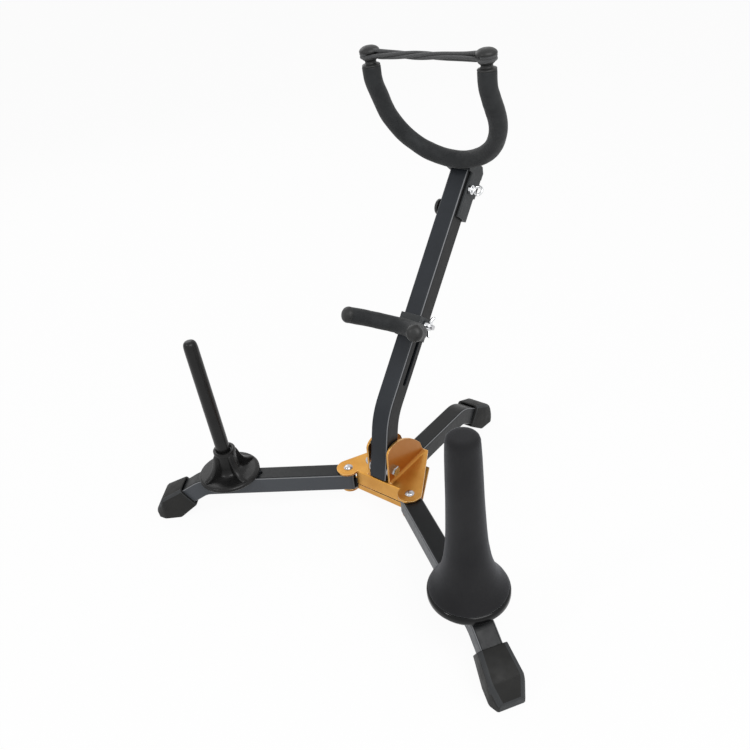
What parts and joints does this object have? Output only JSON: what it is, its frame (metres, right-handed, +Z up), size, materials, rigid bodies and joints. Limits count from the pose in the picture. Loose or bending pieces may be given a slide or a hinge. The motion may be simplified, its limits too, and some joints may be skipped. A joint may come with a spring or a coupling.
{
  "type": "saxophone stand",
  "caption": "Folding tripod stand for a saxophone, with a padded upper yoke and elastic strap, a padded lower cradle, and side pegs for a clarinet or flute and for a soprano.",
  "frame": {"origin": "centre of the bounding box of the open stand, on the floor under the three shoes", "axes": "+Z up; +Y to the back, along the back leg, the way the mast leans; +X to the side of the cone peg"},
  "size_m": [0.4508, 0.341, 0.439],
  "materials": {
    "black_tube": "semi-gloss black enamel",
    "gold_shell": "gold lacquer",
    "chrome_fastener": "bright plated",
    "steel_hardware": "zinc plated",
    "black_rubber": "satin moulded",
    "cap_rubber": "smooth satin",
    "black_foam": "matte closed-cell foam",
    "rod_steel": "black powder coat",
    "elastic_cord": "twisted elastic",
    "carriage_black": "fine-textured black powder coat",
    "black_plastic": "matte moulded",
    "gloss_black": "glossy moulded",
    "peg_black": "satin moulded",
    "black_flock": "short-pile flock"
  },
  "bodies": {
    "base": {"hub_upper_shell": "gold_shell", "hub_lower_shell": "gold_shell", "hub_rivets": "chrome_fastener", "hub_spacer_sleeves": "steel_hardware", "hub_leg_washers": "steel_hardware", "back_leg_tube": "black_tube", "back_leg_shoe": "black_rubber", "mast_pivot_bolt": "chrome_fastener", "mast_pivot_nut": "chrome_fastener", "mast_pivot_washers": "chrome_fastener"},
    "left_leg": {"left_leg_tube": "black_tube", "left_leg_shoe": "black_rubber", "thin_peg_insert": "steel_hardware"},
    "right_leg": {"right_leg_tube": "black_tube", "right_leg_shoe": "black_rubber", "cone_peg_insert": "steel_hardware"},
    "mast": {"mast_tube": "black_tube", "mast_pivot_bush": "black_plastic", "mast_top_cap": "black_plastic"},
    "yoke": {"yoke_carriage": "carriage_black", "yoke_guide_button": "carriage_black", "yoke_rod": "rod_steel", "yoke_foam_sleeve": "black_foam", "yoke_cap_left": "cap_rubber", "yoke_cap_right": "cap_rubber", "yoke_elastic_strap": "elastic_cord"},
    "yoke_screw": {"yoke_thumb_screw": "chrome_fastener"},
    "cradle": {"cradle_bracket": "rod_steel", "cradle_clamp_bolt": "steel_hardware", "cradle_rod": "rod_steel", "cradle_foam_sleeve": "black_foam", "cradle_tip_left": "cap_rubber", "cradle_tip_right": "cap_rubber"},
    "cradle_nut": {"cradle_wing_nut": "chrome_fastener"},
    "thin_peg": {"thin_peg_post": "peg_black", "thin_peg_base": "gloss_black", "thin_peg_stud": "steel_hardware"},
    "cone_peg": {"cone_peg_core": "black_plastic", "cone_peg_flock_cover": "black_flock", "cone_peg_rim": "gloss_black", "cone_peg_stud": "steel_hardware"}
  },
  "joints": [
    {"name": "right_leg_fold", "type": "hinge", "parent": "base", "child": "right_leg", "pos_m": [0.0395, -0.03993, 0.0365], "axis": [0, 0, 1], "range_deg": [0, 124]},
    {"name": "left_leg_fold", "type": "hinge", "parent": "base", "child": "left_leg", "pos_m": [-0.0395, -0.03993, 0.0365], "axis": [0, 0, -1], "range_deg": [0, 124]},
    {"name": "mast_fold", "type": "hinge", "parent": "base", "child": "mast", "pos_m": [0, -0.02893, 0.0603], "axis": [-1, 0, 0], "range_deg": [0, 52]},
    {"name": "yoke_height", "type": "slide", "parent": "mast", "child": "yoke", "axis": [0, -0.6334, -0.7738], "range_m": [0, 0.08]},
    {"name": "cradle_height", "type": "slide", "parent": "mast", "child": "cradle", "axis": [0, -0.6334, -0.7738], "range_m": [0, 0.06]},
    {"name": "yoke_screw_turn", "type": "hinge", "parent": "yoke", "child": "yoke_screw", "pos_m": [0.012, 0.13286, 0.30026], "axis": [1, 0, 0], "continuous": true},
    {"name": "cradle_nut_turn", "type": "hinge", "parent": "cradle", "child": "cradle_nut", "pos_m": [0.014, 0.04387, 0.19154], "axis": [1, 0, 0], "continuous": true},
    {"name": "thin_peg_turn", "type": "hinge", "parent": "left_leg", "child": "thin_peg", "pos_m": [-0.14562, -0.11151, 0.0465], "axis": [0, 0, 1], "continuous": true},
    {"name": "cone_peg_turn", "type": "hinge", "parent": "right_leg", "child": "cone_peg", "pos_m": [0.15432, -0.11738, 0.0465], "axis": [0, 0, 1], "continuous": true}
  ]
}
